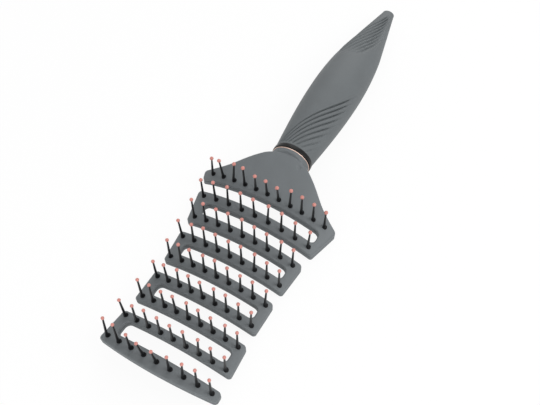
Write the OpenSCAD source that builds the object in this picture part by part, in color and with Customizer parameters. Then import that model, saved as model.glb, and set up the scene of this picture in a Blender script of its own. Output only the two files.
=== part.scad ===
// Vent brush: a zig-zag vented head bowed both ways, rows of ball-tipped pins and an oval handle.
// All sizes in millimetres. The brush lies on its back on the table, pins up, handle towards +Y.

/* [Head] */
// Lengthwise radius of the hollow in the pin face
bend_r = 203; // [160:1:400]
// Slope of the pin face at the first row, in degrees
bend_start = 7.8; // [4:0.1:12]
// Crosswise radius of the pin face
cross_r = 72; // [60:1:120]
// Lean of the pins towards the head's tip when the brush lies flat, in degrees
head_lean = 4.1; // [0:0.1:8]
// Thickness of the front plate
plate_t = 1.7; // [1.2:0.1:2.5]
// Seam between the front plate and the back frame
seam = 0.3; // [0.1:0.05:0.5]
// Thickness of the back frame
frame_t = 3.1; // [2.4:0.1:4.5]
// Distance from the first row to the second
first_gap = 12; // [11:0.1:14]
// Distance between the middle rows
row_pitch = 11.4; // [10:0.1:13]
// Distance from the last row but one to the last
last_gap = 11.7; // [10.5:0.1:13.5]
// Half width of the second bar
bar_half = 2.8; // [2.4:0.05:3.4]
// How much narrower each further bar's half width gets
bar_taper = 0.05; // [0:0.01:0.1]
// Half width of the head at the shoulder's corners
shoulder_half_w = 34.7; // [30:0.1:40]
// Half width of the head just below the second bar
block_half_w = 30.2; // [26:0.1:36]
// Half width of the head at its narrowest bar
waist_half_w = 26.4; // [25.5:0.1:32]
// Half width of the head at the tip bar
tip_half_w = 28; // [26:0.1:34]
// Width of the tip bar, along the brush
tip_bar_w = 6.4; // [5:0.1:8]
// Width of the last slot, along the brush
last_slot_w = 7; // [5:0.1:8]
// Bow of the tip bar's outer edge
tip_bow = 1.9; // [0.5:0.1:4]
// Width of the links on the left side
link_left = 5.2; // [3.5:0.1:7]
// Width of the links on the right side
link_right = 4.1; // [3.5:0.1:7]
// Radius of the outer corners
corner_r = 1.6; // [0.8:0.1:2]
// Radius in the closed ends of the slots
slot_r = 2.3; // [1:0.1:2.6]
// Distance from the front plate's end to the thin ring
plate_end_gap = 1.4; // [0.8:0.1:3]
// Radius of the front plate's curved end
plate_end_r = 23; // [18:0.5:30]

/* [Pins] */
// Height of the ball tips' centres above the pin face
pin_h = 16.8; // [12:0.1:20]
// Diameter of the ball tips
ball_d = 1.9; // [1.4:0.05:2.4]
// Diameter of the pins' round bases
hub_d = 2.2; // [1.6:0.05:2.4]
// Diameter of the pins' shafts above their bases
shaft_d = 1.1; // [0.9:0.05:1.4]
// Diameter of the pins' shafts at the ball tips
shaft_tip_d = 0.8; // [0.6:0.05:0.9]
// Diameter of the pins' hidden heads
pin_head_d = 2.9; // [2.6:0.05:3.2]
// Thickness of the pins' hidden heads
pin_head_t = 0.7; // [0.5:0.05:0.9]
// Change of lean between the first and the last row, in degrees
lean_change = 5.9; // [0:0.1:8]
// Clearance round the pins, their heads and the locating pegs
fit_gap = 0.03; // [0.01:0.01:0.1]
// Diameter of the locating pegs
peg_d = 1.6; // [1.2:0.1:2]

/* [Collar] */
// Half width of the neck in front of the rings
neck_half_w = 9.7; // [8:0.1:11]
// Half height of the neck in front of the rings
neck_half_h = 8.7; // [7:0.1:10]
// Distance from the first row to the thin ring
collar_y = 23.1; // [22:0.1:28]
// Depth of the neck's axis below the first row's middle pin hole
collar_drop = 1.87; // [1:0.01:2.5]
// Slope of the neck and the handle down towards the handle's end, in degrees
handle_slope = 2.2; // [0:0.1:4]
// Length of the thin ring
thin_ring_l = 0.5; // [0.4:0.1:1.5]
// How far the thin ring stands proud of the neck
thin_ring_lip = 0.2; // [0.1:0.05:0.5]
// Length of the wide ring
wide_ring_l = 2.6; // [1.5:0.1:4]
// How far the wide ring stands proud of the neck
wide_ring_lip = 0.5; // [0.2:0.05:0.8]
// Wall of the rings below the neck's surface
ring_seat = 1.4; // [0.8:0.1:2]

/* [Handle] */
// Length from the thin ring to the handle's end
handle_l = 123.2; // [110:0.1:140]
// Half width of the handle at the collar
grip_start_w = 9.5; // [9.2:0.1:11]
// Half width of the handle at its belly
belly_half_w = 13.25; // [12:0.05:15]
// Distance from the thin ring to the belly
belly_l = 52.7; // [45:0.1:60]
// Height of the handle's section over its width, at the collar
round_start = 0.9; // [0.85:0.01:1]
// Height of the handle's section over its width, at the belly
round_belly = 0.89; // [0.7:0.01:0.9]
// Depth of the flat on which the handle's belly lies
belly_flat = 0.25; // [0.1:0.05:0.5]
// Height of the handle's section over its width, at the end
round_end = 0.68; // [0.5:0.01:0.8]
// Distance from the thin ring to where the straight taper starts
taper_l = 84.7; // [75:0.1:95]
// Half width of the handle where the straight taper starts
taper_half_w = 10.7; // [9:0.05:12]
// Half width of the handle where the taper ends
tip_start_half_w = 3.4; // [2.5:0.1:5]
// Half width of the handle's blunt end
end_half_w = 2.2; // [1.5:0.1:2.4]
// Length of the rounding at the handle's end
end_l = 2; // [1:0.1:4]
// Half width of the tang inside the handle
tang_half_w = 5; // [3.5:0.1:6.5]
// Half height of the tang inside the handle
tang_half_h = 3.6; // [2.5:0.1:5]
// Length of the tang inside the handle
tang_l = 58; // [30:1:80]

/* [Grooves] */
// Number of swirling grooves by the collar
neck_grooves = 8; // [0:1:8]
// Distance from the thin ring to the first groove by the collar, along the top
neck_groove_l = 24.9; // [20:0.1:28]
// Distance between the grooves by the collar
neck_groove_pitch = 4.2; // [3.5:0.1:5]
// Number of swirling grooves by the handle's end
end_grooves = 7; // [0:1:8]
// Distance from the handle's end to the last groove, along the top
end_groove_l = 10.1; // [8:0.1:14]
// Distance between the grooves by the handle's end
end_groove_pitch = 5.6; // [4.5:0.1:6.5]
// Depth of the grooves
groove_depth = 0.4; // [0.1:0.05:0.6]
// Diameter of the round that cuts the grooves
groove_d = 1.8; // [1.2:0.1:2.4]

/* [Hidden] */
ROWS = 9;
A_PINS = 11;
BAR_PINS = 9;
// Distance from the outermost pin of each row to the head's side, from the shoulder to the tip.
side_gap = [4.95, 3.7, 3.45, 2.75, 2.65, 2.85, 2.9, 2.7, 3.4];
// How far the outer pins of the bowed rows lie nearer to the handle than the middle pin.
pin_bow = [0.6, 0.2, 0, 0, 0, 0, 0.2, 0.6, 1];
bow_ref = 31;
brush_mid_y = 25.13;
// Height of the first row's middle pin hole above the table.
face_h = collar_drop + belly_l * sin(handle_slope)
    + belly_half_w * round_belly * cos(handle_slope) - belly_flat;
first_edge = 2.9;
tip_bar_back = 3;
waist_l = 62;
block_l = 16;
// Distance from the first row to the front plate's end.
shoulder_len = collar_y - plate_end_gap;
// How far the plate's end curves back at its sides.
end_sag = 3.1;
// The fan runs into the sides of the neck, which stays oval from there to the thin ring.
neck_l = 3.1;
fan_end = collar_y - neck_l;
arc_steps = 4;
side_steps = 12;
contact = 0.02;
// The lens-shaped start of the neck inside the frame.
lens_y = 4;
lens_drop = 4.2;
lens_half_w = 22;
lens_half_h = 0.5;
// The neck rises from the plate's end to the ring by 1 mm over this length.
end_flare = 1.1;
// Sector of the handle that the grooves cross, in degrees from the top, and the least of it.
neck_groove_from = -52;
neck_groove_to = 58;
end_groove_from = -40;
end_groove_to = [18, 34, 52];
least_sweep = 8;
// Distance from the wide ring to where the grooves by the collar may begin.
groove_margin = 1.9;
// How far a groove runs down the handle with each degree, and the change from groove to groove.
neck_groove_slope = 0.334;
neck_slope_step = -0.009;
end_groove_slope = 0.254;
end_slope_step = 0.032;
// Curl of the grooves by the collar, and the change from groove to groove.
groove_curl = 0.00002;
groove_spread = -0.00025;
groove_steps = 9;
groove_sides = 6;
// Clearance between the handle and the ends of each groove's cutter.
groove_clear = 0.05;
bow_y = -bend_r * sin(bend_start);
bow_z = bend_r * cos(bend_start);
hub_h = 0.6;
cone_h = 2.8;
pin_head_top = -2.75;
peg_reach = 2.3;
socket_reach = 2.6;
head_seat = 0.05;
last = ROWS - 1;
tip_edge = row_t(last) - tip_bar_back + tip_bar_w;

// Distance of a row from the first row, towards the tip.
function row_t(r) =
    r == 0 ? 0 :
    r < last ? first_gap + row_pitch * (r - 1) :
    first_gap + row_pitch * (ROWS - 3) + last_gap;
function half_bar(r) = bar_half - bar_taper * (r - 1);
// Near and far edge of the slot between a row and the next one.
function slot_near(r) =
    r == 0 ? first_edge :
    r == last - 1 ? row_t(last) - tip_bar_back - last_slot_w :
    row_t(r) + half_bar(r);
function slot_far(r) = r == last - 1 ? row_t(last) - tip_bar_back : row_t(r + 1) - half_bar(r + 1);
// Half width of the head at a distance from the first row.
function half_w(t) =
    t < block_l ? shoulder_half_w + (block_half_w - shoulder_half_w) * t / block_l :
    t < waist_l ? waist_half_w
        + (block_half_w - waist_half_w) * pow((waist_l - t) / (waist_l - block_l), 2) :
    waist_half_w + (tip_half_w - waist_half_w) * pow((t - waist_l) / (tip_edge - 5 - waist_l), 2);
function bezier(a, b, c, d, s) =
    a * pow(1 - s, 3) + 3 * b * s * pow(1 - s, 2) + 3 * c * pow(s, 2) * (1 - s) + d * pow(s, 3);
// Points of an arc of radius r that rounds the corner p between its neighbours a and b.
function corner_arc(a, p, b, r) =
    let (
        u = (a - p) / norm(a - p),
        v = (b - p) / norm(b - p),
        half = acos(u * v) / 2,
        c = p + (u + v) / norm(u + v) * r / sin(half),
        from = p + u * r / tan(half) - c,
        to = p + v * r / tan(half) - c,
        turn = (atan2(to.y, to.x) - atan2(from.y, from.x) + 540) % 360 - 180
    )
    [for (k = [0:arc_steps])
        let (g = atan2(from.y, from.x) + turn * k / arc_steps)
        c + r * [cos(g), sin(g)]];
// A closed outline whose corners [x, y, radius] are rounded where the radius is above 0.
function rounded(path) =
    let (n = len(path))
    [for (i = [0:n - 1])
        let (
            a = path[(i + n - 1) % n],
            p = path[i],
            b = path[(i + 1) % n]
        )
        each p.z > 0 ? corner_arc([a.x, a.y], [p.x, p.y], [b.x, b.y], p.z) : [[p.x, p.y]]];
// One side of the shoulder's fan, from the neck to the corner, on side -1 or 1.
function fan(side) =
    [for (k = [0:side_steps - 1])
        let (p = bezier([neck_half_w + 0.1, fan_end], [22, 12], [24, 4.5],
            [shoulder_half_w - 0.1, -0.1], k / side_steps))
        [side * p.x, p.y, 0]];
// The four corners of a slot that opens on a side, entered from the shoulder's end.
function slot_path(r, side) =
    let (
        near = slot_near(r),
        far = slot_far(r),
        mid = (near + far) / 2,
        link = side < 0 ? link_right : link_left,
        end = -side * (half_w(mid) - link)
    )
    [
        [side * half_w(near), -near, corner_r],
        [end, -near, slot_r],
        [end, -far, slot_r],
        [side * half_w(far), -far, corner_r]
    ];
function reversed(path) = [for (i = [len(path) - 1:-1:0]) path[i]];
// The head's outline seen along the pins.
function head_outline() =
    concat(
        [[-neck_half_w - 0.1, collar_y + 0.5, 0]],
        fan(-1),
        [[-shoulder_half_w, -0.3, corner_r]],
        [for (r = [0:2:last - 2]) each slot_path(r, -1)],
        [[-tip_half_w, -tip_edge + tip_bow, corner_r + 0.6]],
        [for (k = [1:7])
            let (x = -tip_half_w + 2 * tip_half_w * k / 8)
            [x, -tip_edge + tip_bow * pow(x / tip_half_w, 2), 0]],
        [[tip_half_w, -tip_edge + tip_bow, corner_r + 0.6]],
        [for (r = [last - 1:-2:1]) each reversed(slot_path(r, 1))],
        [[shoulder_half_w, -0.3, corner_r]],
        reversed(fan(1)),
        [[neck_half_w + 0.1, collar_y + 0.5, 0]]
    );
function pins_in(r) = r == 0 ? A_PINS : BAR_PINS;
function pin_pitch(r) = 2 * (half_w(row_t(r)) - side_gap[r]) / (pins_in(r) - 1);
function pin_x(r, j) = (j - (pins_in(r) - 1) / 2) * pin_pitch(r);
function lean(r) = lean_change * (row_t(r) / row_t(last) - 0.5);
// Height of the pin face over a point, in the frame of the pins.
function face_z(x, y) =
    bow_z - sqrt(pow(bend_r + cross_r - sqrt(pow(cross_r, 2) - pow(x, 2)), 2) - pow(y - bow_y, 2));
function foot(r, x) =
    let (y = -row_t(r) + pin_bow[r] * pow(x / bow_ref, 2))
    [x, y, face_z(x, y)];
// Half width and half height of the handle at a distance from the thin ring.
function grip_w(u) =
    u < belly_l ? grip_start_w + (belly_half_w - grip_start_w) * sin(90 * u / belly_l) :
    u < taper_l ? belly_half_w - (belly_half_w - taper_half_w) * pow((u - belly_l) / (taper_l - belly_l), 2) :
    u < handle_l - end_l ? taper_half_w
        - (taper_half_w - tip_start_half_w) * (u - taper_l) / (handle_l - end_l - taper_l) :
    end_half_w;
function grip_h(u) =
    grip_w(u) * (u < belly_l ?
        round_start + (round_belly - round_start) * u / belly_l :
        round_belly + (round_end - round_belly) * (u - belly_l) / (handle_l - belly_l));

// A point at a height over the handle's surface, for a place [distance from the thin ring, angle].
function on_grip(place, height) =
    [
        (grip_w(place.x) + height) * sin(place.y),
        place.x,
        (grip_h(place.x) + height) * cos(place.y)
    ];

// Puts the head's own frame, with the pins upright, in its place over the table.
module in_head() {
    translate([0, -brush_mid_y, face_h])
        rotate([head_lean, 0, 0])
            children();
}

// Puts the neck's frame in its place: its origin is the thin ring's centre, +Y runs down the handle.
module in_neck() {
    translate([0, collar_y - brush_mid_y, face_h - collar_drop])
        rotate([-handle_slope, 0, 0])
            children();
}

// A curved layer of the head between two depths below the pin face.
module bowed_layer(upper, lower) {
    translate([0, bow_y, bow_z])
        rotate([0, 90, 0])
            rotate([0, 0, -22])
                rotate_extrude(angle = 39, $fn = 96)
                    intersection() {
                        translate([bend_r + cross_r, 0])
                            difference() {
                                circle(r = cross_r - upper, $fn = 96);
                                circle(r = cross_r - lower, $fn = 96);
                            }
                        translate([bend_r - 30, -40])
                            square([52, 80]);
                    }
}

// The head's outline as a tall prism along the pins.
module head_prism() {
    translate([0, 0, -30])
        linear_extrude(height = 50)
            polygon(rounded(head_outline()));
}

// An oval bar of the neck's frame, from one distance to another.
module oval_bar(w, h, from, to, steps = 48) {
    translate([0, from, 0])
        rotate([-90, 0, 0])
            linear_extrude(height = to - from)
                polygon([for (k = [0:steps - 1])
                    let (g = 360 * (k + 0.5) / steps)
                    [w * cos(g), h * sin(g)]]);
}

module at_pin(r, x) {
    translate(foot(r, x))
        rotate([-lean(r), 0, 0])
            children();
}

module at_pins(r) {
    for (j = [0:pins_in(r) - 1])
        at_pin(r, pin_x(r, j))
            children();
}

// The two locating pegs of each row stand halfway between two pins.
module at_pegs() {
    for (r = [0:last], side = [-1, 1])
        at_pin(r, side * 1.5 * pin_pitch(r))
            children();
}

// All that lies within the front plate's curved end, grown by a margin.
module within_plate_end(margin) {
    translate([0, shoulder_len - plate_end_r, -40])
        cylinder(h = 80, r = plate_end_r + margin, $fn = 96);
    translate([-50, -120, -40])
        cube([100, 120 + shoulder_len - end_sag + margin, 80]);
}

// The room that the neck leaves round the plate's end: a seam, then a slope up to the thin ring.
module plate_end_room() {
    tall = 10;
    within_plate_end(seam);
    translate([0, shoulder_len - plate_end_r, face_z(0, shoulder_len) - plate_t / 2])
        cylinder(h = tall, r1 = plate_end_r + seam, r2 = plate_end_r + seam + tall * end_flare, $fn = 96);
}

module front_plate() {
    color([0.44, 0.46, 0.47])
        in_head()
            difference() {
                union() {
                    intersection() {
                        bowed_layer(0, plate_t);
                        head_prism();
                        within_plate_end(0);
                    }
                    at_pegs()
                        translate([0, 0, -plate_t - peg_reach])
                            cylinder(h = peg_reach + 0.9, d = peg_d, $fn = 32);
                }
                for (r = [0:last])
                    at_pins(r)
                        translate([0, 0, -plate_t - 3])
                            cylinder(h = plate_t + 6, d = hub_d + 2 * fit_gap, $fn = 32);
            }
}

// The solid neck: a lens under the shoulder that draws in to the oval collar.
module neck_block() {
    difference() {
        intersection() {
            union() {
                hull() {
                    in_neck()
                        oval_bar(neck_half_w, neck_half_h, -neck_l, -neck_l + 0.1);
                    in_head()
                        translate([0, lens_y, -lens_drop])
                            oval_bar(lens_half_w, lens_half_h, 0, 1);
                }
                in_neck()
                    oval_bar(neck_half_w, neck_half_h, -neck_l, 0);
            }
            in_head()
                head_prism();
        }
        in_head()
            difference() {
                plate_end_room();
                bowed_layer(plate_t + seam, 30);
            }
    }
}

module back_frame() {
    color([0.40, 0.42, 0.43])
        union() {
            difference() {
                union() {
                    in_head()
                        intersection() {
                            bowed_layer(plate_t + seam, plate_t + seam + frame_t);
                            head_prism();
                            within_plate_end(0);
                        }
                    neck_block();
                }
                in_head() {
                    for (r = [0:last])
                        at_pins(r)
                            translate([0, 0, pin_head_top - pin_head_t - head_seat])
                                cylinder(h = 6, d = pin_head_d + 2 * fit_gap, $fn = 32);
                    at_pegs()
                        translate([0, 0, -plate_t - socket_reach])
                            cylinder(h = 6, d = peg_d + 2 * fit_gap, $fn = 32);
                }
            }
            in_neck() {
                oval_bar(neck_half_w - ring_seat, neck_half_h - ring_seat, -1, thin_ring_l + wide_ring_l);
                translate([-tang_half_w, 0, -tang_half_h])
                    cube([2 * tang_half_w, tang_l, 2 * tang_half_h]);
            }
        }
}

// A row of black pins, each with a hidden head, a round base and a tapering shaft.
module pin_row(r) {
    color([0.05, 0.05, 0.055])
        in_head()
            at_pins(r)
                rotate_extrude($fn = 48)
                    polygon([
                        [0, pin_head_top - pin_head_t],
                        [pin_head_d / 2, pin_head_top - pin_head_t],
                        [pin_head_d / 2, pin_head_top],
                        [hub_d / 2, pin_head_top],
                        [hub_d / 2, hub_h],
                        [shaft_d / 2, cone_h],
                        [shaft_tip_d / 2, pin_h - ball_d / 2],
                        [shaft_tip_d / 2, pin_h],
                        [0, pin_h]
                    ]);
}

// The ball tips of one row, each seated over the end of its pin.
module tip_row(r) {
    color([0.87, 0.56, 0.52])
        in_head()
            at_pins(r)
                difference() {
                    translate([0, 0, pin_h])
                        sphere(d = ball_d, $fn = 48);
                    translate([0, 0, pin_h - ball_d])
                        cylinder(h = ball_d + fit_gap, d = shaft_tip_d + 2 * fit_gap, $fn = 32);
                }
}

// An oval ring on the neck.
module collar_ring(from, length, lip) {
    in_neck()
        difference() {
            oval_bar(neck_half_w + lip, neck_half_h + lip, from, from + length);
            oval_bar(neck_half_w - ring_seat + contact, neck_half_h - ring_seat + contact,
                from - 1, from + length + 1);
        }
}

module thin_ring() {
    color([0.80, 0.58, 0.47])
        collar_ring(contact, thin_ring_l - contact, thin_ring_lip);
}

module wide_ring() {
    color([0.06, 0.06, 0.065])
        collar_ring(thin_ring_l + contact, wide_ring_l - 2 * contact, wide_ring_lip);
}

// A cutter for one groove: a thin tube along the handle's surface that sinks in between its ends.
// Its route is a list of [distance from the thin ring, angle from the top].
module groove_cutter(route) {
    n = len(route);
    r = groove_d / 2;
    ring = [for (i = [0:n - 1])
        let (
            height = r + groove_clear - (groove_depth + groove_clear) * sqrt(sin(180 * i / (n - 1))),
            mid = on_grip(route[i], height),
            way = on_grip(route[min(i + 1, n - 1)], 0) - on_grip(route[max(i - 1, 0)], 0),
            out = [sin(route[i].y), 0, cos(route[i].y)],
            side = cross(out, way) / norm(cross(out, way))
        )
        for (k = [0:groove_sides - 1])
            mid + r * (out * cos(360 * k / groove_sides) + side * sin(360 * k / groove_sides))];
    walls = [for (i = [0:n - 2], k = [0:groove_sides - 1])
        let (
            a = i * groove_sides + k,
            b = i * groove_sides + (k + 1) % groove_sides
        )
        each [[a, b, b + groove_sides], [a, b + groove_sides, a + groove_sides]]];
    caps = [for (k = [1:groove_sides - 2])
        each [[0, k + 1, k], [(n - 1) * groove_sides, (n - 1) * groove_sides + k, (n - 1) * groove_sides + k + 1]]];
    polyhedron(points = ring, faces = concat(walls, caps));
}

// Both families of grooves climb from the left side over the top to the right side.
module grooves() {
    grip_start = thin_ring_l + wide_ring_l;
    for (k = [0:1:neck_grooves - 1]) {
        slope = neck_groove_slope + neck_slope_step * k;
        start = neck_groove_l - neck_groove_pitch * k;
        from = max(neck_groove_from, (grip_start + groove_margin - start) / slope);
        to = max(neck_groove_to - k, from + least_sweep);
        groove_cutter([for (i = [0:groove_steps])
            let (g = from + (to - from) * i / groove_steps)
            [start + slope * g + groove_curl * pow(g, 3) + groove_spread * k * pow(g, 2), g]]);
    }
    for (k = [0:1:end_grooves - 1]) {
        slope = end_groove_slope + end_slope_step * k;
        start = handle_l - end_groove_l - end_groove_pitch * k;
        from = end_groove_from;
        to = end_groove_to[min(k, 2)];
        groove_cutter([for (i = [0:groove_steps])
            let (g = from + (to - from) * i / groove_steps)
            [start + slope * g, g]]);
    }
}

// The grip: an oval handle that swells to a belly and tapers to a blunt end, over the tang.
module handle() {
    grip_start = thin_ring_l + wide_ring_l;
    swell = belly_l - grip_start;
    fall = taper_l - belly_l;
    stations = concat(
        [for (k = [0:5]) grip_start + swell * k / 5],
        [for (k = [1:4]) belly_l + fall * k / 4],
        [handle_l - end_l - contact, handle_l]
    );
    color([0.42, 0.44, 0.45])
        difference() {
            in_neck()
                hull()
                    for (u = stations)
                        oval_bar(grip_w(u), grip_h(u), u - 0.01, u, 32);
            in_neck()
                translate([-tang_half_w - contact, 0, -tang_half_h - contact])
                    cube([2 * tang_half_w + 2 * contact, tang_l + contact, 2 * tang_half_h + 2 * contact]);
            in_neck()
                grooves();
            translate([-50, -100, -20])
                cube([100, 300, 20]);
        }
}

front_plate();
back_frame();
pin_row(0);  // pins_a
pin_row(1);  // pins_b
pin_row(2);  // pins_c
pin_row(3);  // pins_d
pin_row(4);  // pins_e
pin_row(5);  // pins_f
pin_row(6);  // pins_g
pin_row(7);  // pins_h
pin_row(8);  // pins_i
tip_row(0);  // tips_a
tip_row(1);  // tips_b
tip_row(2);  // tips_c
tip_row(3);  // tips_d
tip_row(4);  // tips_e
tip_row(5);  // tips_f
tip_row(6);  // tips_g
tip_row(7);  // tips_h
tip_row(8);  // tips_i
thin_ring();
wide_ring();
handle();
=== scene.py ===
import math
import bpy
import numpy as np
from mathutils import Euler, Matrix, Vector
from mathutils.geometry import delaunay_2d_cdt


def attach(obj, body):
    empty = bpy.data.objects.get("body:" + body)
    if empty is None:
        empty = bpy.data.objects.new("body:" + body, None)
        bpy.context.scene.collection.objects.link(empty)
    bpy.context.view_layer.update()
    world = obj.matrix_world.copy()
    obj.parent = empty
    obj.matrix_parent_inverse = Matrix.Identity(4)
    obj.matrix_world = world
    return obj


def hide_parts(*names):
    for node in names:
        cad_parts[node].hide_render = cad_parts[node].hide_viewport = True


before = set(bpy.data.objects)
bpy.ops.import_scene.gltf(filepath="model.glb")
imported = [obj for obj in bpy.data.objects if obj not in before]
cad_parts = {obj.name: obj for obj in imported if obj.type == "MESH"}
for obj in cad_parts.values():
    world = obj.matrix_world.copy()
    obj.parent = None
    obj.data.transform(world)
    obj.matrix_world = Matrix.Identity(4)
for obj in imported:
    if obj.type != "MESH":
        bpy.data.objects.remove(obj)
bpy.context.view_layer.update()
scene = bpy.context.scene
mm = 0.001
rowLetters = "abcdefghi"
print("frame loaded with", len(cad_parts), "nodes")

# The camera looks from beyond the tip of the head, over the pins, towards the handle.
cameraView = dict(
    place=(74.74, -184.61, 289.44),  # millimetres
    turn=(32.011, -2.322, 28.358),  # degrees
    lens=46.987, sensor=36.0, clipStart=0.01, clipEnd=20.0,
)


def addCamera(v):
    data = bpy.data.cameras.new("camera")
    data.lens = v["lens"]
    data.sensor_width = v["sensor"]
    data.clip_start = v["clipStart"]
    data.clip_end = v["clipEnd"]
    camera = bpy.data.objects.new("camera", data)
    camera.location = Vector(v["place"]) * mm
    camera.rotation_euler = Euler([math.radians(a) for a in v["turn"]])
    scene.collection.objects.link(camera)
    scene.camera = camera


addCamera(cameraView)
scene.view_settings.view_transform = "Standard"
print("camera placed")

# Sizes of the head, in millimetres, in the head's own frame: pins upright, tip towards -y.
head = dict(
    bendRadius=203.0, bendStart=7.8, crossRadius=72.0, lean=4.1,
    firstGap=12.0, rowPitch=11.4, lastGap=11.7, barHalf=2.8, barTaper=0.05,
    shoulderHalf=34.68, blockHalf=30.2, blockLength=16.0, waistHalf=26.4, waistLength=62.0,
    tipHalf=28.0, tipHalfBack=1.6, tipBarWidth=7.4, tipBarBack=3.0, tipBow=2.5, tipPoints=25,
    firstEdge=2.9, lastSlot=7.0, linkLeft=5.2, linkRight=4.1,
    cornerRadius=1.6, tipCornerRadius=1.8, slotRadius=2.3, cornerPoints=9, outlineSpacing=0.8,
    plateThickness=1.7, seam=0.3, frameThickness=3.1,
    midY=25.13, faceHeight=15.43,
)
rowCount = len(rowLetters)
lastRow = rowCount - 1

# the axis about which the head's crosswise arc is turned
bendY = -head["bendRadius"] * math.sin(math.radians(head["bendStart"]))
bendZ = head["bendRadius"] * math.cos(math.radians(head["bendStart"]))


def rowDistance(r):
    # from the first row towards the tip
    if r == 0:
        return 0.0
    if r < lastRow:
        return head["firstGap"] + head["rowPitch"] * (r - 1)
    return head["firstGap"] + head["rowPitch"] * (rowCount - 3) + head["lastGap"]


tipEdge = rowDistance(lastRow) - head["tipBarBack"] + head["tipBarWidth"]


def slotEdges(r):
    # near and far edge of the slot between a row and the next one
    if r == lastRow - 1:
        tipSide = rowDistance(lastRow) - head["tipBarBack"]
        return tipSide - head["lastSlot"], tipSide
    near = rowDistance(r) + head["barHalf"] - head["barTaper"] * (r - 1)
    far = rowDistance(r + 1) - head["barHalf"] + head["barTaper"] * r
    return (near if r else head["firstEdge"]), far


def halfWidth(t):
    # straight along the shoulder's block, then two parabolas that meet at the waist
    h = head
    if t < h["blockLength"]:
        return h["shoulderHalf"] + (h["blockHalf"] - h["shoulderHalf"]) * t / h["blockLength"]
    if t < h["waistLength"]:
        part = (h["waistLength"] - t) / (h["waistLength"] - h["blockLength"])
        return h["waistHalf"] + (h["blockHalf"] - h["waistHalf"]) * part ** 2
    part = (t - h["waistLength"]) / (rowDistance(lastRow) - h["tipHalfBack"] - h["waistLength"])
    return h["waistHalf"] + (h["tipHalf"] - h["waistHalf"]) * part ** 2


# The plate rises a little towards the neck and ends there in a shallow arc.
neckRise = dict(height=0.3, width=7.0, start=8.0, end=20.0)
plateEnd = dict(y=21.7, radius=23.0, points=29)


def smoothStep(x):
    # 3 x^2 - 2 x^3 between 0 and 1, flat outside
    x = np.clip(x, 0.0, 1.0)
    return x * x * (3 - 2 * x)


def bowedHeight(x, y, depth=0.0):
    # a ring surface: a crosswise arc turned about an axis high above the head,
    # plus a rise that follows a smooth step along and a bell across
    crossArc = np.sqrt((head["crossRadius"] - depth) ** 2 - np.square(x))
    reach = head["bendRadius"] + head["crossRadius"] - crossArc
    z = bendZ - np.sqrt(np.square(reach) - np.square(y - bendY))
    along = smoothStep((y - neckRise["start"]) / (neckRise["end"] - neckRise["start"]))
    return z + neckRise["height"] * along * np.exp(-np.square(x / neckRise["width"]))


def turned(points, degrees, shift):
    # a turn about the x axis, then a shift
    c = math.cos(math.radians(degrees))
    s = math.sin(math.radians(degrees))
    x, y, z = points[..., 0], points[..., 1], points[..., 2]
    return np.stack([x, c * y - s * z, s * y + c * z], -1) + np.array(shift)


def fromHead(points):
    return turned(points, head["lean"], (0, -head["midY"], head["faceHeight"]))


# The neck and the handle share one axis, which starts at the thin ring and slopes down.
neck = dict(halfWidth=9.7, halfHeight=8.7, y=23.1, drop=1.87, slope=2.2)


def fromNeck(points):
    shift = (0, neck["y"] - head["midY"], head["faceHeight"] - neck["drop"])
    return turned(points, -neck["slope"], shift)


def cornerArc(before, corner, after, radius, steps):
    # an arc that touches both legs of the corner
    u = (before - corner) / np.linalg.norm(before - corner)
    v = (after - corner) / np.linalg.norm(after - corner)
    half = math.acos(np.clip(u @ v, -1, 1)) / 2
    centre = corner + (u + v) / np.linalg.norm(u + v) * radius / math.sin(half)
    start = corner + u * radius / math.tan(half) - centre
    stop = corner + v * radius / math.tan(half) - centre
    startAngle = math.atan2(start[1], start[0])
    turn = (math.atan2(stop[1], stop[0]) - startAngle + 3 * math.pi) % (2 * math.pi) - math.pi
    angles = startAngle + turn * np.linspace(0, 1, steps)
    return centre + radius * np.stack([np.cos(angles), np.sin(angles)], 1)


def roundedOutline(corners, spacing):
    # corners [x, y, radius] become arcs, and the straight parts get a point every so often
    path = []
    for i, here in enumerate(corners):
        if here[2] > 0:
            before = corners[i - 1][:2]
            after = corners[(i + 1) % len(corners)][:2]
            path.append(cornerArc(before, here[:2], after, here[2], head["cornerPoints"]))
        else:
            path.append(here[None, :2])
    path = np.concatenate(path)
    after = np.roll(path, -1, 0)
    counts = np.maximum(1, np.ceil(np.linalg.norm(after - path, axis=1) / spacing)).astype(int)
    index = np.repeat(np.arange(len(path)), counts)
    step = np.arange(counts.sum()) - np.repeat(np.cumsum(counts) - counts, counts)
    part = (step / counts[index])[:, None]
    return path[index] * (1 - part) + after[index] * part


def cubicCurve(a, b, c, d, s):
    # from a to d, pulled towards b and then c: a (1-s)^3 + 3 b s (1-s)^2 + 3 c s^2 (1-s) + d s^3
    s = s[:, None]
    a, b, c, d = (np.array(p, float) for p in (a, b, c, d))
    return a * (1 - s) ** 3 + 3 * b * s * (1 - s) ** 2 + 3 * c * s ** 2 * (1 - s) + d * s ** 3


def withRadius(points, radius=0.0):
    # [x, y] points become outline corners [x, y, radius]
    return np.column_stack([points, np.full(len(points), radius)])


# The shoulder's sides: a cubic curve from the neck to a corner just behind the first row.
fan = dict(
    startY=20.0, pullNeck=(23.84, 10.53), pullCorner=(19.93, 9.11), cornerHalf=35.4, cornerY=1.7,
    margin=0.1, startPart=0.05, points=25,
)


def fanSide(side):
    # the shoulder's side curve, from the neck out to the shoulder's corner
    s = np.linspace(fan["startPart"], 1, fan["points"])[:-1]
    start = (neck["halfWidth"] + fan["margin"], fan["startY"])
    end = (fan["cornerHalf"] - fan["margin"], fan["cornerY"])
    return cubicCurve(start, fan["pullNeck"], fan["pullCorner"], end, s) * (side, 1)


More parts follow.
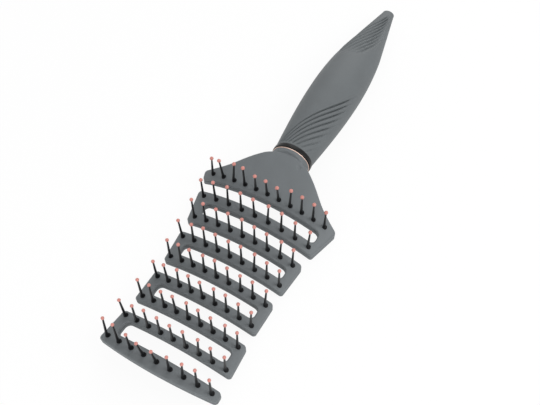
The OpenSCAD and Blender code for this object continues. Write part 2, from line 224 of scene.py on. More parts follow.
def slotCorners(r, side):
    # a slot that opens on one side, entered from the shoulder's end
    near, far = slotEdges(r)
    link = head["linkRight"] if side < 0 else head["linkLeft"]
    end = -side * (halfWidth((near + far) / 2) - link)
    return np.array([
        [side * halfWidth(near), -near, head["cornerRadius"]],
        [end, -near, head["slotRadius"]],
        [end, -far, head["slotRadius"]],
        [side * halfWidth(far), -far, head["cornerRadius"]],
    ])


def tipCorners():
    # the tip's two corners, and between them a parabola that bows outwards
    h = head
    x = np.linspace(-h["tipHalf"], h["tipHalf"], h["tipPoints"])[1:-1]
    bow = withRadius(np.stack([x, -tipEdge + h["tipBow"] * (x / h["tipHalf"]) ** 2], 1))
    places = [[-h["tipHalf"], h["tipBow"] - tipEdge], [h["tipHalf"], h["tipBow"] - tipEdge]]
    corners = withRadius(places, h["tipCornerRadius"])
    return np.concatenate([corners[:1], bow, corners[1:]])


def endSide(endSag):
    # the plate's end: a shallow parabola between the fans, lowered by the sag times 1 - (x / edge)^4
    edge = fanSide(1)[0][0]
    x = np.linspace(edge, -edge, plateEnd["points"])[1:-1]
    y = plateEnd["y"] - x ** 2 / (2 * plateEnd["radius"]) - endSag * (1 - (x / edge) ** 4)
    return withRadius(np.stack([x, y], 1))


def headOutline(endSag):
    # counter-clockwise: left fan, left slots, tip, right slots, right fan, plate's end
    cornerPlaces = [[-fan["cornerHalf"], fan["cornerY"]], [fan["cornerHalf"], fan["cornerY"]]]
    corners = withRadius(cornerPlaces, head["cornerRadius"])
    parts = [withRadius(fanSide(-1)), corners[:1]]
    parts += [slotCorners(r, -1) for r in range(0, lastRow - 1, 2)]
    parts.append(tipCorners())
    parts += [slotCorners(r, 1)[::-1] for r in range(lastRow - 1, 0, -2)]
    parts += [corners[1:], withRadius(fanSide(1)[::-1]), endSide(endSag)]
    return roundedOutline(np.concatenate(parts), head["outlineSpacing"])


# The pins: how many in a row, how far the outer ones stay from the side, and how they lean.
pins = dict(
    inFirstRow=11, inRow=9, height=16.8, leanChange=5.9, bowReference=31.0,
    sideGap=(4.95, 3.7, 3.45, 2.75, 2.65, 2.85, 2.9, 2.7, 3.4),
    bow=(0.6, 0.2, 0, 0, 0, 0, 0.2, 0.6, 1.0),
    hubRadius=1.1, hubHeight=0.6, rim=0.25, rimPoints=5, coneRadius=0.82, coneHeight=2.8, conePoints=7,
    shaftRadius=0.6, shaftTipRadius=0.36, footShift=(-0.3, -0.16), footClear=0.01, rootDepth=2.75,
    ballRadius=0.9, ballTaper=0.02, ballPoints=13, sides=18,
    sway=0.3, swayByPin=2.4, swayByRow=1.7, swayBack=1.9,
)
pegPlace = 1.5  # the pegs stand this many pin pitches off the middle

# How far the balls of the first and the last row are bent aside and towards the handle.
firstRowBends = dict(
    aside=(1.0, -0.5, 1.0, 0.0, 1.0, 0.5, 0.5, 0.5, 0.0, 0.0, 0.0),
    back=(-0.5, -1.0, 0.0, -0.5, -2.0, -2.0, -2.5, -0.5, -0.5, -0.5, -0.5),
)
lastRowBends = dict(
    aside=(0.0, -0.5, 0.5, 0.0, 0.5, 0.5, 0.5, -0.5, -0.5),
    back=(1.0, 0.5, -0.5, -1.5, -1.5, -0.5, 0.0, 0.5, 0.0),
)


def pinCount(r):
    return pins["inRow"] if r else pins["inFirstRow"]


def pinPitch(r):
    return 2 * (halfWidth(rowDistance(r)) - pins["sideGap"][r]) / (pinCount(r) - 1)


def footPoints(r, x):
    # a row bows towards the handle by a parabola
    y = -rowDistance(r) + pins["bow"][r] * (x / pins["bowReference"]) ** 2
    return np.stack([x, y, bowedHeight(x, y)], -1)


def pinFeet(r):
    return footPoints(r, (np.arange(pinCount(r)) - (pinCount(r) - 1) / 2) * pinPitch(r))


def pegFeet(r):
    return footPoints(r, np.array([-pegPlace, pegPlace]) * pinPitch(r))


def pinBends(r):
    # the first and the last row have their own, the others sway a little, each pin its own way
    if r in (0, lastRow):
        bends = lastRowBends if r else firstRowBends
        return np.stack([bends["aside"], bends["back"]], 1)
    turn = pins["swayByPin"] * np.arange(pins["inRow"]) + pins["swayByRow"] * r
    return pins["sway"] * np.stack([np.sin(turn), np.cos(pins["swayBack"] * turn)], 1)


# Builders that put numpy arrays into Blender meshes.
def makePiece(name, points, faces, material, replaced, sharpAngle=35):
    mesh = bpy.data.meshes.new(name)
    mesh.from_pydata((np.asarray(points) * mm).tolist(), [], faces)
    mesh.update()
    mesh.shade_smooth()
    mesh.set_sharp_from_angle(angle=math.radians(sharpAngle))
    mesh.materials.append(material)
    piece = bpy.data.objects.new(name, mesh)
    scene.collection.objects.link(piece)
    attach(piece, "root")
    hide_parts(*replaced)


def loopQuads(upper, lower):
    # quads between two closed loops of point numbers, both counter-clockwise from above
    return np.stack([upper, lower, np.roll(lower, -1), np.roll(upper, -1)], 1).tolist()


def gridQuads(rows, columns, first=0):
    # quads of a grid whose rows are closed loops
    index = first + np.arange(rows * columns).reshape(rows, columns)
    right = np.roll(index, -1, 1)
    quads = np.stack([index[:-1], right[:-1], right[1:], index[1:]], -1)
    return quads.reshape(-1, 4).tolist()


def poleFaces(rows, columns, first=0):
    # triangles from a grid's first and last loop to two poles, whose points follow the grid's
    near = first + np.arange(columns)
    far = near + (rows - 1) * columns
    pole = first + rows * columns
    nearFaces = np.stack([np.full(columns, pole), np.roll(near, -1), near], 1)
    farFaces = np.stack([np.full(columns, pole + 1), far, np.roll(far, -1)], 1)
    return nearFaces.tolist() + farFaces.tolist()


# How the flat faces of the head are filled, in parts of the spacing.
filling = dict(rowStep=0.866, edgeGap=0.55, extraGap=0.45, chunk=400, tolerance=1e-6)


def insidePolygon(points, polygon):
    # crossing count of a ray along +x, in which a level edge never counts
    x, y = points[:, 0:1], points[:, 1:2]
    ax, ay = polygon[:, 0], polygon[:, 1]
    bx, by = np.roll(ax, -1), np.roll(ay, -1)
    spans = (ay > y) != (by > y)
    rise = np.where(by == ay, 1, by - ay)
    cross = spans & (x < (bx - ax) * (y - ay) / rise + ax)
    return cross.sum(1) % 2 == 1


def farFrom(points, others, distance):
    # which points keep their distance from all the others, worked out a chunk at a time
    keep = np.ones(len(points), bool)
    for part in np.array_split(np.arange(len(points)), max(1, len(points) // filling["chunk"])):
        gap = points[part][:, None, :] - others[None, :, :]
        keep[part] = (gap ** 2).sum(-1).min(1) > distance ** 2
    return keep


def fillOutline(outline, extra, spacing):
    # even triangles inside the outline, over a staggered grid of points
    low, high = outline.min(0), outline.max(0)
    ys = np.arange(low[1], high[1], spacing * filling["rowStep"])
    xs = np.arange(low[0], high[0], spacing)
    gx, gy = np.meshgrid(xs, ys)
    gx[1::2] += spacing / 2
    grid = np.stack([gx.ravel(), gy.ravel()], 1)
    grid = grid[insidePolygon(grid, outline)]
    grid = grid[farFrom(grid, outline, spacing * filling["edgeGap"])]
    if len(extra):
        grid = grid[farFrom(grid, extra, spacing * filling["extraGap"])]
        grid = np.concatenate([grid, extra])
    points = np.concatenate([outline, grid])
    border = [list(range(len(outline)))]
    out = delaunay_2d_cdt([Vector(p) for p in points], [], border, 1, filling["tolerance"])
    names = np.array([ids[0] for ids in out[3]])
    return points, names[np.array(out[2])]


def outlineNormals(outline):
    # a point's two neighbours give its tangent, and a quarter turn of that points outwards
    tangent = np.roll(outline, -1, 0) - np.roll(outline, 1, 0)
    tangent /= np.linalg.norm(tangent, axis=1)[:, None]
    return np.stack([tangent[:, 1], -tangent[:, 0]], 1)


def circlePoints(centre, radius, count):
    # centre + radius times (cosine, sine) of even angles
    a = np.arange(count) * 2 * math.pi / count
    return centre + radius * np.stack([np.cos(a), np.sin(a)], 1)


def headLayer(outline, profile, spacing, extra=(), dents=()):
    # a closed layer of the head: profile rings (inset, depth) from its upper to its lower face
    normals = outlineNormals(outline)
    ring = np.arange(len(outline))
    points = []
    faces = []
    for inset, depth in profile:
        flat = outline - inset * normals
        points.append(np.column_stack([flat, bowedHeight(flat[:, 0], flat[:, 1], depth)]))
    starts = len(outline) * np.arange(len(profile))
    for upper, lower in zip(starts[:-1], starts[1:]):
        faces += loopQuads(upper + ring, lower + ring)
    for end, isUpper in ((0, True), (-1, False)):
        inset, depth = profile[end]
        flat, triangles = fillOutline(outline - inset * normals, extra if isUpper else (), spacing)
        z = bowedHeight(flat[:, 0], flat[:, 1], depth)
        if len(dents) and isUpper:
            z = z - dentDepth(flat, dents)
        first = sum(map(len, points))
        numbers = np.concatenate([starts[end] + ring, first + np.arange(len(flat) - len(ring))])
        points.append(np.column_stack([flat, z])[len(ring):])
        # triangles of the upper face turn counter-clockwise, those of the lower face clockwise
        a = flat[triangles[:, 1]] - flat[triangles[:, 0]]
        b = flat[triangles[:, 2]] - flat[triangles[:, 0]]
        area = a[:, 0] * b[:, 1] - a[:, 1] * b[:, 0]
        flip = (area < 0) if isUpper else (area > 0)
        triangles[flip] = triangles[flip][:, ::-1]
        faces += numbers[triangles].tolist()
    return np.concatenate(points), faces


def edgeRings(radius, depth, steps, upper=True):
    # a quarter round between a flat face and a wall
    a = np.linspace(0, math.pi / 2, steps)
    if upper:
        return list(zip(radius * (1 - np.sin(a)), depth + radius * (1 - np.cos(a))))
    return list(zip(radius * (1 - np.cos(a)), depth - radius * (1 - np.sin(a))))


# Finishes are mixed from noise on object coordinates.
def newMaterial(name, colour, roughness, **sockets):
    material = bpy.data.materials.new(name)
    material.use_nodes = True
    shader = material.node_tree.nodes["Principled BSDF"]
    shader.inputs["Base Color"].default_value = (*colour, 1)
    shader.inputs["Roughness"].default_value = roughness
    for socket, value in sockets.items():
        shader.inputs[socket.replace("_", " ")].default_value = value
    return material, shader


def addNode(owner, kind, **values):
    # a value names an attribute of the node or one of its sockets
    node = owner.node_tree.nodes.new(kind)
    for key, value in values.items():
        if hasattr(node, key):
            setattr(node, key, value)
        else:
            node.inputs[key.replace("_", " ")].default_value = value
    return node


def noiseOf(material, scale, detail):
    where = material.node_tree.nodes.get("where") or addNode(material, "ShaderNodeTexCoord", name="where")
    noise = addNode(material, "ShaderNodeTexNoise", Scale=scale, Detail=detail)
    material.node_tree.links.new(where.outputs["Object"], noise.inputs["Vector"])
    return noise


def rampOf(material, noise, places, colours):
    ramp = addNode(material, "ShaderNodeValToRGB")
    for stop, place, colour in zip(ramp.color_ramp.elements, places, colours):
        stop.position = place
        stop.color = (*colour, 1)
    material.node_tree.links.new(noise.outputs["Fac"], ramp.inputs["Fac"])
    return ramp


def bumpFrom(material, shader, noise, strength, distance):
    bump = addNode(material, "ShaderNodeBump", Strength=strength, Distance=distance)
    material.node_tree.links.new(noise.outputs["Fac"], bump.inputs["Height"])
    material.node_tree.links.new(bump.outputs["Normal"], shader.inputs["Normal"])


def roughnessFrom(material, shader, noise, low, high):
    spread = addNode(material, "ShaderNodeMapRange", To_Min=low, To_Max=high)
    material.node_tree.links.new(noise.outputs["Fac"], spread.inputs["Value"])
    material.node_tree.links.new(spread.outputs["Result"], shader.inputs["Roughness"])


# The rubbery lacquer of the plate, the frame and the grip.
softTouch = dict(
    plate=(0.140, 0.154, 0.162), frame=(0.127, 0.141, 0.149), grip=(0.111, 0.123, 0.129),
    mottle=0.05, mottleScale=90.0, mottleDetail=3.0, mottlePlaces=(0.3, 0.7),
    speckle=0.04, speckleScale=3800.0, speckleDetail=2.0, specklePlaces=(0.35, 0.65),
    plainRoughness=0.55, roughness=(0.50, 0.60), shine=0.42, grainDistance=0.00003, grainStrength=0.22,
)


def softTouchCoat(name, colour):
    # wide faint mottling, times fine specks, with a fine grain. Sockets 6, 7 and 2 of Mix are colours
    s = softTouch
    material, shader = newMaterial(name, colour, s["plainRoughness"], Specular_IOR_Level=s["shine"])
    links = material.node_tree.links
    wide = noiseOf(material, s["mottleScale"], s["mottleDetail"])
    fine = noiseOf(material, s["speckleScale"], s["speckleDetail"])
    base = np.array(colour)
    mottled = (base * (1 - s["mottle"]), base * (1 + s["mottle"]))
    speckled = ((1 - s["speckle"],) * 3, (1 + s["speckle"],) * 3)
    wideRamp = rampOf(material, wide, s["mottlePlaces"], mottled)
    fineRamp = rampOf(material, fine, s["specklePlaces"], speckled)
    mix = addNode(material, "ShaderNodeMix", data_type="RGBA", blend_type="MULTIPLY")
    mix.inputs[0].default_value = 1.0  # the whole product
    links.new(wideRamp.outputs["Color"], mix.inputs[6])
    links.new(fineRamp.outputs["Color"], mix.inputs[7])
    links.new(mix.outputs[2], shader.inputs["Base Color"])
    roughnessFrom(material, shader, wide, *s["roughness"])
    bumpFrom(material, shader, fine, s["grainStrength"], s["grainDistance"])
    return material


# The pins, the ball tips and the two rings: a plain colour, and the tones between which it drifts.
nylonLook = dict(
    colour=(0.004, 0.004, 0.005), tones=((0.003, 0.003, 0.0035), (0.006, 0.006, 0.007)),
    roughness=0.32, shine=0.12, scale=900.0, detail=2.0, bumpStrength=0.15, bumpDistance=0.00004,
)
coralLook = dict(
    colour=(0.60, 0.245, 0.21), tones=((0.56, 0.22, 0.185), (0.64, 0.27, 0.235)),
    roughness=0.38, shine=0.4, scale=700.0, detail=3.0, bumpStrength=0.12, bumpDistance=0.00005,
)
roseLook = dict(
    colour=(0.72, 0.53, 0.45), tones=((0.66, 0.47, 0.39), (0.78, 0.60, 0.52)),
    roughness=0.24, roughnessRange=(0.30, 0.36), scale=1600.0, detail=3.0,
)
glossLook = dict(
    colour=(0.008, 0.0075, 0.0075), tones=((0.007, 0.007, 0.0075), (0.012, 0.0115, 0.012)),
    roughness=0.22, shine=0.18, scale=220.0, detail=1.0, bumpStrength=0.1, bumpDistance=0.00006,
)
tonePlaces = (0.3, 0.7)


def tonedMaterial(name, look, **sockets):
    material, shader = newMaterial(name, look["colour"], look["roughness"], **sockets)
    noise = noiseOf(material, look["scale"], look["detail"])
    tone = rampOf(material, noise, tonePlaces, look["tones"])
    material.node_tree.links.new(tone.outputs["Color"], shader.inputs["Base Color"])
    return material, shader, noise


def plastic(name, look):
    material, shader, noise = tonedMaterial(name, look, Specular_IOR_Level=look["shine"])
    bumpFrom(material, shader, noise, look["bumpStrength"], look["bumpDistance"])
    return material


def metal(name, look):
    material, shader, noise = tonedMaterial(name, look, Metallic=1.0)
    roughnessFrom(material, shader, noise, *look["roughnessRange"])
    return material


plateCoat = softTouchCoat("plateCoat", softTouch["plate"])
frameCoat = softTouchCoat("frameCoat", softTouch["frame"])
gripCoat = softTouchCoat("gripCoat", softTouch["grip"])
nylon = plastic("blackNylon", nylonLook)
coral = plastic("coralTip", coralLook)
rose = metal("roseGold", roseLook)
gloss = plastic("glossBlack", glossLook)
print("materials ready")

# The front plate, with faint sink marks over its pegs and one on the shoulder.
plateShape = dict(edge=0.75, edgeSteps=7, wallEnd=1.55, foot=0.15, spacing=1.25)
sinkMark = dict(
    radius=0.85, depth=0.12, shoulderRadius=1.0, shoulderDepth=0.25, shoulder=((6.8, 18.0),),
    slope=0.4, ringPoints=14, ringOffsets=(-0.45, -0.2, 0.0, 0.2, 0.45),
)


def dentDepth(flat, dents):
    # each dent is [x, y, radius, depth], and its edge is a smooth step
    gap = np.sqrt(((flat[:, None, :] - dents[None, :, :2]) ** 2).sum(-1))
    within = dents[None, :, 2] - gap
    return (dents[None, :, 3] * smoothStep(within / sinkMark["slope"] + 0.5)).max(1)


def sinkMarks():
    # [x, y, radius, depth] of each mark, and mesh points in rings about its edge
    m = sinkMark
    feet = np.concatenate([pegFeet(r)[:, :2] for r in range(rowCount)])
    counts = [len(feet), len(m["shoulder"])]
    radii = np.repeat([m["radius"], m["shoulderRadius"]], counts)
    depths = np.repeat([m["depth"], m["shoulderDepth"]], counts)
    dents = np.column_stack([np.concatenate([feet, m["shoulder"]]), radii, depths])
    rings = [circlePoints(d[:2], d[2] + e, m["ringPoints"]) for d in dents for e in m["ringOffsets"]]
    return dents, np.concatenate(rings + [dents[:, :2]])


def buildPlate():
    s = plateShape
    profile = edgeRings(s["edge"], 0.0, s["edgeSteps"])
    profile += [(0.0, s["wallEnd"]), (s["foot"], head["plateThickness"])]
    dents, extra = sinkMarks()
    points, faces = headLayer(headOutline(0.0), profile, s["spacing"], extra, dents)
    makePiece("headPlate", fromHead(points), faces, plateCoat, ["front_plate"])


buildPlate()
print("head plate built")

# The back frame: a thicker layer behind a fine parting groove, and the neck down to the collar.
frameShape = dict(
    land=0.55, landDepth=1.72, topEdge=0.12, topSteps=3, bottomEdge=0.9, bottomSteps=7,
    spacing=1.6, endSag=0.75,
)
neckShape = dict(
    startY=3.2, startHalf=22.0, startDrop=4.25, startThick=0.45, ovalY=19.0, evenShare=0.35,
    under=1.78, step=0.36, stepStart=-0.9, stepLength=0.6, bandLength=1.3, rise=2.6, risePower=1.5,
    underRing=0.3, blend=0.3, stations=150, sides=192,
)


def neckSurface():
    # ovals that narrow from a flat lens under the shoulder to the collar, their tops kept below the plate
    s = neckShape
    ringCentre = turned(np.array([0.0, neck["y"], -neck["drop"]]), -head["lean"], (0, 0, 0))
    slope = math.radians(neck["slope"] + head["lean"])
    angle = np.arange(s["sides"])[None, :] * 2 * math.pi / s["sides"]
    # the far end leans with the ring
    end = ringCentre[1] + s["underRing"] + neck["halfHeight"] * math.sin(slope) * np.cos(angle)
    y = s["startY"] + np.linspace(0, 1, s["stations"])[:, None] * (end - s["startY"])
    v = np.clip((y - s["startY"]) / (s["ovalY"] - s["startY"]), 0, 1)
    ease = s["evenShare"] * v + (1 - s["evenShare"]) * smoothStep(v)
    axis = ringCentre[2] - (y - ringCentre[1]) * math.tan(slope)
    half = s["startHalf"] + (neck["halfWidth"] - s["startHalf"]) * ease
    thick = s["startThick"] + (neck["halfHeight"] - s["startThick"]) * ease
    centre = -s["startDrop"] * (1 - ease) + axis * ease
    x = half * np.sin(angle)
    z = centre + thick * np.cos(angle)
    # the limit runs under the plate, steps up to its end and rises from there to the ring
    past = y - plateEnd["y"] + x ** 2 / (2 * plateEnd["radius"])
    stepped = smoothStep((past - s["stepStart"]) / s["stepLength"])
    depth = s["under"] + (s["step"] - s["under"]) * stepped
    risen = s["rise"] * np.clip(past / s["bandLength"], 0, None) ** s["risePower"]
    # a soft minimum of the oval and the limit, on the upper half only
    over = z - (bowedHeight(x, y) - depth + risen)
    lowered = z - (over + np.sqrt(over ** 2 + s["blend"])) / 2
    z = np.where(np.cos(angle) > 0, lowered, z)
    return np.stack([x, y, z], -1)


def buildFrame():
    s = frameShape
    top = head["plateThickness"] + head["seam"]
    profile = [(s["land"], s["landDepth"]), (s["land"], top)]
    profile += edgeRings(s["topEdge"], top, s["topSteps"])
    profile += edgeRings(s["bottomEdge"], top + head["frameThickness"], s["bottomSteps"], upper=False)
    points, faces = headLayer(headOutline(s["endSag"]), profile, s["spacing"])
    tube = neckSurface()
    rows, columns = tube.shape[:2]
    faces += gridQuads(rows, columns, len(points))
    faces += poleFaces(rows, columns, len(points))
    ends = np.stack([tube[0].mean(0), tube[-1].mean(0)])
    points = np.concatenate([points, tube.reshape(-1, 3), ends])
    makePiece("headFrame", fromHead(points), faces, frameCoat, ["back_frame"])


buildFrame()
print("head frame built")


def ovalPoints(u, angle, w, h):
    # ovals about the neck's axis, with angles from the top towards +x
    return np.stack([w * np.sin(angle), u + 0 * angle, h * np.cos(angle)], -1)


# The rings: where each starts and ends along the neck, how far it stands proud, and its rounding.
ringShape = dict(
    thin=dict(start=0.02, end=0.48, lip=0.16, rounding=0.18),
    wide=dict(start=0.52, end=3.08, lip=0.5, rounding=0.45),
    seat=1.38, sides=160, roundPoints=7,
)


def buildRing(name, ring, material, node):
    # a closed profile (place along the neck, height over its surface) carried round the oval
    a = np.linspace(0, math.pi / 2, ringShape["roundPoints"])
    rounding = ring["rounding"]
    rise = np.concatenate([[-ringShape["seat"]], ring["lip"] - rounding + rounding * np.sin(a)])
    run = np.concatenate([[0.0], rounding * (1 - np.cos(a))])
    place = np.concatenate([ring["start"] + run, ring["end"] - run[::-1]])
    height = np.concatenate([rise, rise[::-1]])[:, None]
    angle = np.arange(ringShape["sides"])[None, :] * 2 * math.pi / ringShape["sides"]
    points = ovalPoints(place[:, None], angle, neck["halfWidth"] + height, neck["halfHeight"] + height)
    rows, columns = points.shape[:2]
    faces = gridQuads(rows, columns)
    # the seat runs from the last loop back to the first
    first = np.arange(columns)
    last = first + (rows - 1) * columns
    faces += np.stack([last, np.roll(last, -1), np.roll(first, -1), first], 1).tolist()
    makePiece(name, fromNeck(points.reshape(-1, 3)), faces, material, [node])


buildRing("thinRing", ringShape["thin"], rose, "thin_ring")
buildRing("wideRing", ringShape["wide"], gloss, "wide_ring")
print("rings built")

# The grip: an oval that swells to a belly and tapers to a blunt end, with two families of swirling grooves.
grip = dict(
    start=3.1, startHalf=9.5, belly=52.7, bellyHalf=13.25, taper=84.7, taperHalf=10.7,
    tipHalf=3.4, length=123.2, endLength=2.0, blunt=3.0,
    roundStart=0.9, roundBelly=0.89, roundEnd=0.68,
    smoothFrom=48.0, smoothTo=80.0, rows=(190, 28, 172), capRows=16,
    backColumns=56, frontColumns=174, frontEdge=80.0, sharpAngle=60,
)
neckGrooves = dict(
    count=8, first=24.9, slope=(0.334, 0.0, 0.00002), pitch=(4.18, 0.0089, 0.00025),
    depth=1.3, width=0.65, shallower=0.6, near=3.7, fadeNear=1.2, far=56.0, fadeFar=16.0,
    left=-76.0, leftFade=20.0, right=70.0, rightFade=31.0,
)
endGrooves = dict(
    count=8, first=113.1, slope=(0.254, -0.00034, 0.0), pitch=(5.58, -0.032, 0.0),
    depth=1.15, width=1.25, shallower=0.12, near=70.0, fadeNear=9.0, far=118.5, fadeFar=4.0,
    left=-85.0, leftFade=20.0, right=58.0, rightFade=44.0,
)


def gripHalf(u):
    # a quarter sine to the belly, a parabola to the taper, a straight taper and an end of (1 - x^3)^(1/3)
    g = grip
    end = g["length"] - g["endLength"]
    toBelly = np.clip(u / g["belly"], 0, 1)
    toTaper = (u - g["belly"]) / (g["taper"] - g["belly"])
    pastEnd = np.clip((u - end) / g["endLength"], 0, 1)
    swell = g["startHalf"] + (g["bellyHalf"] - g["startHalf"]) * np.sin(toBelly * math.pi / 2)
    fall = g["bellyHalf"] - (g["bellyHalf"] - g["taperHalf"]) * toTaper ** 2
    line = g["taperHalf"] - (g["taperHalf"] - g["tipHalf"]) * (u - g["taper"]) / (end - g["taper"])
    cap = g["tipHalf"] * (1 - pastEnd ** g["blunt"]) ** (1 / g["blunt"])
    half = np.where(u < g["belly"], swell, np.where(u < g["taper"], fall, line))
    return np.where(u > end, cap, half)


def gripRoundness(u):
    # height over width, even from the start to the belly and on to the end
    g = grip
    first = g["roundStart"] + (g["roundBelly"] - g["roundStart"]) * u / g["belly"]
    past = u - g["belly"]
    second = g["roundBelly"] + (g["roundEnd"] - g["roundBelly"]) * past / (g["length"] - g["belly"])
    return np.where(u < g["belly"], first, second)


def grooveDepth(f, u, t):
    # u is the place along the neck and t the angle in degrees. Groove k, counted towards the collar,
    # is the line u = first + three terms of slope - k times three terms of pitch
    lead = f["first"] + f["slope"][0] * t + f["slope"][1] * t ** 2 + f["slope"][2] * t ** 3
    pitch = f["pitch"][0] + f["pitch"][1] * t + f["pitch"][2] * t ** 2
    k = (lead - u) / pitch
    nearest = np.clip(np.round(k), 0, f["count"] - 1)
    offset = (k - nearest) * pitch
    # its valley is 1 / (1 + (offset / width)^2), and each further one is shallower by the square of k
    share = 1 - f["shallower"] * (nearest / (f["count"] - 1)) ** 2
    valley = 1 / (1 + (offset / f["width"]) ** 2) * share
    side = smoothStep((t - f["left"]) / f["leftFade"]) * smoothStep((f["right"] - t) / f["rightFade"])
    ends = smoothStep((u - f["near"]) / f["fadeNear"]) * smoothStep((f["far"] - u) / f["fadeFar"])
    return f["depth"] * valley * side * ends


def buildGrip():
    # rows and columns are finest where the grooves are
    g = grip
    stops = (g["start"], g["smoothFrom"], g["smoothTo"], g["length"] - g["endLength"])
    parts = [np.linspace(a, b, n, endpoint=False) for a, b, n in zip(stops[:-1], stops[1:], g["rows"])]
    capTurn = np.linspace(0, math.pi / 2, g["capRows"])[:-1]
    parts.append(g["length"] - g["endLength"] * (1 - np.sin(capTurn)))
    u = np.concatenate(parts)[:, None]
    front = np.linspace(-g["frontEdge"], g["frontEdge"], g["frontColumns"], endpoint=False)
    back = np.linspace(g["frontEdge"], 360 - g["frontEdge"], g["backColumns"], endpoint=False)
    degrees = np.concatenate([front, back])[None, :]
    depth = grooveDepth(neckGrooves, u, degrees) + grooveDepth(endGrooves, u, degrees)
    w = gripHalf(u)
    h = w * gripRoundness(u)
    points = ovalPoints(u, np.radians(degrees), w - depth, h - depth)
    rows, columns = points.shape[:2]
    ends = np.array([[0, g["start"], 0], [0, g["length"], 0]], float)
    points = fromNeck(np.concatenate([points.reshape(-1, 3), ends]))
    points[:, 2] = np.maximum(points[:, 2], 0.0)  # the flat on which the belly rests
    faces = gridQuads(rows, columns) + poleFaces(rows, columns)
    makePiece("softGrip", points, faces, gripCoat, ["handle"], g["sharpAngle"])


buildGrip()
print("grip built")


# Pins and ball tips are turned profiles, one piece for each row.
def turnedProfiles(feet, bends, lean, radii, heights):
    # one profile of (radius, height) turned about each foot's leaning axis, then bent by (height / full)^2
    a = np.arange(pins["sides"])[None, :] * 2 * math.pi / pins["sides"]
    ring = np.stack([radii[:, None] * np.cos(a), radii[:, None] * np.sin(a), heights[:, None] + 0 * a], -1)
    rows, columns = ring.shape[:2]
    body = np.concatenate([ring.reshape(-1, 3), [[0, 0, heights[0]], [0, 0, heights[-1]]]])
    # the shaft leaves its base a little off the middle and straightens towards the ball
    part = np.clip(body[:, 2] / pins["height"], 0, 1)
    low = (body[:, 2] > pins["hubHeight"] + pins["footClear"]) * (1 - part)
    body[:, :2] += low[:, None] * np.array(pins["footShift"])
    body = turned(body, -lean, (0, 0, 0))
    sideways = np.column_stack([bends, np.zeros(len(feet))])
    points = body[None] + feet[:, None] + sideways[:, None] * (part ** 2)[None, :, None]
    quads = np.array(gridQuads(rows, columns))
    caps = np.array(poleFaces(rows, columns))
    faces = []
    for shift in np.arange(len(feet)) * len(body):
        faces += (quads + shift).tolist() + (caps + shift).tolist()
    return points.reshape(-1, 3), faces


def pinProfile():
    # a round base with a soft rim, a hollow cone and a shaft that thins towards the ball
    p = pins
    a = np.linspace(0, math.pi / 2, p["rimPoints"])
    s = np.linspace(0, 1, p["conePoints"])
    rimRadii = p["hubRadius"] - p["rim"] + p["rim"] * np.cos(a)
    rimHeights = p["hubHeight"] - p["rim"] + p["rim"] * np.sin(a)
    coneRadii = p["shaftRadius"] + (p["coneRadius"] - p["shaftRadius"]) * (1 - s) ** 2
    coneHeights = p["hubHeight"] + (p["coneHeight"] - p["hubHeight"]) * s
    radii = np.concatenate([[p["hubRadius"]], rimRadii, coneRadii, [p["shaftTipRadius"]]])
    heights = np.concatenate([[-p["rootDepth"]], rimHeights, coneHeights, [p["height"]]])
    return radii, heights


def ballProfile(r):
    # a half circle, whose poles are closed apart
    a = np.linspace(-math.pi / 2, math.pi / 2, pins["ballPoints"])[1:-1]
    radius = pins["ballRadius"] - pins["ballTaper"] * r
    return radius * np.cos(a), pins["height"] + radius * np.sin(a)


for r, letter in enumerate(rowLetters):
    feet = pinFeet(r)
    # the lean changes evenly from the first row to the last, half of it either way
    lean = pins["leanChange"] * (rowDistance(r) / rowDistance(lastRow) - 0.5)
    points, faces = turnedProfiles(feet, pinBends(r), lean, *pinProfile())
    makePiece("pins_" + letter.upper(), fromHead(points), faces, nylon, ["pins_" + letter])
    points, faces = turnedProfiles(feet, pinBends(r), lean, *ballProfile(r))
    makePiece("tips_" + letter.upper(), fromHead(points), faces, coral, ["tips_" + letter])
print("pins and tips built")

# A pale floor, a soft white room, and lamps on the right, in front and behind.
studio = dict(
    floorSize=4.0, floorDrop=0.0001, floorTone=0.93, floorRoughness=0.9, floorShine=0.1,
    floorGlow=0.92, floorBounce=0.6, room=0.60, background=1.0,
    lamps=[
        dict(name="keyLamp", place=(0.55, 0.05, 0.6), size=0.5, power=2.3),
        dict(name="frontLamp", place=(0.10, -0.62, 0.34), size=0.5, power=1.3),
        dict(name="backLamp", place=(-0.15, 0.75, 0.5), size=0.8, power=2.3),
    ],
)


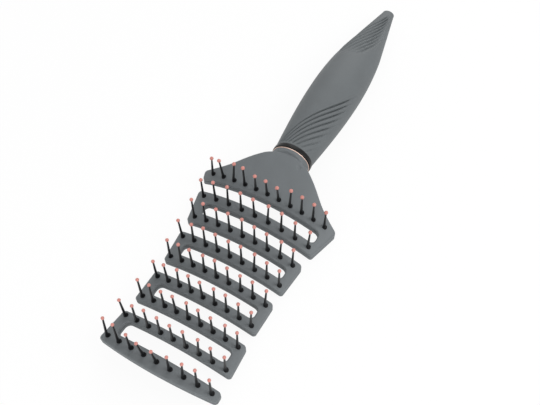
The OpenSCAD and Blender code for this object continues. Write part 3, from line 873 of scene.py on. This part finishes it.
def addFloor():
    t = studio
    s = t["floorSize"] / 2
    mesh = bpy.data.meshes.new("floor")
    mesh.from_pydata([(-s, -s, 0), (s, -s, 0), (s, s, 0), (-s, s, 0)], [], [(0, 1, 2, 3)])
    floor = bpy.data.objects.new("floor", mesh)
    floor.location.z = -t["floorDrop"]
    scene.collection.objects.link(floor)
    tone = (t["floorTone"],) * 3
    material, shader = newMaterial("floor", tone, t["floorRoughness"], Specular_IOR_Level=t["floorShine"])
    # the floor glows, and more to the camera than to the brush, so that the shadow stays pale
    rays = addNode(material, "ShaderNodeLightPath")
    share = addNode(material, "ShaderNodeMapRange", To_Min=t["floorBounce"], To_Max=t["floorGlow"])
    white = addNode(material, "ShaderNodeEmission", Strength=t["background"])
    mix = addNode(material, "ShaderNodeMixShader")
    out = material.node_tree.nodes["Material Output"]
    links = material.node_tree.links
    links.new(rays.outputs["Is Camera Ray"], share.inputs["Value"])
    links.new(share.outputs["Result"], mix.inputs[0])
    links.new(shader.outputs[0], mix.inputs[1])
    links.new(white.outputs[0], mix.inputs[2])
    links.new(mix.outputs[0], out.inputs["Surface"])
    mesh.materials.append(material)


def addRoom():
    # the camera, and what shines or lets light through, see the white background
    world = bpy.data.worlds.new("room")
    world.use_nodes = True
    world.node_tree.nodes.clear()
    white = (1, 1, 1, 1)
    rays = addNode(world, "ShaderNodeLightPath")
    shiny = addNode(world, "ShaderNodeMath", operation="MAXIMUM")
    seen = addNode(world, "ShaderNodeMath", operation="MAXIMUM")
    plain = addNode(world, "ShaderNodeBackground", Color=white, Strength=studio["room"])
    backdrop = addNode(world, "ShaderNodeBackground", Color=white, Strength=studio["background"])
    mix = addNode(world, "ShaderNodeMixShader")
    out = addNode(world, "ShaderNodeOutputWorld")
    links = world.node_tree.links
    links.new(rays.outputs["Is Glossy Ray"], shiny.inputs[0])
    links.new(rays.outputs["Is Transmission Ray"], shiny.inputs[1])
    links.new(rays.outputs["Is Camera Ray"], seen.inputs[0])
    links.new(shiny.outputs[0], seen.inputs[1])
    links.new(seen.outputs[0], mix.inputs[0])
    links.new(plain.outputs[0], mix.inputs[1])
    links.new(backdrop.outputs[0], mix.inputs[2])
    links.new(mix.outputs[0], out.inputs[0])
    scene.world = world


def addLamp(lamp):
    # a round lamp that faces the middle of the floor
    data = bpy.data.lights.new(lamp["name"], "AREA")
    data.shape = "DISK"
    data.size = lamp["size"]
    data.energy = lamp["power"]
    light = bpy.data.objects.new(lamp["name"], data)
    light.location = lamp["place"]
    light.rotation_euler = (-Vector(lamp["place"])).to_track_quat("-Z", "Y").to_euler()
    scene.collection.objects.link(light)


addFloor()
addRoom()
for lamp in studio["lamps"]:
    addLamp(lamp)
print("studio ready")
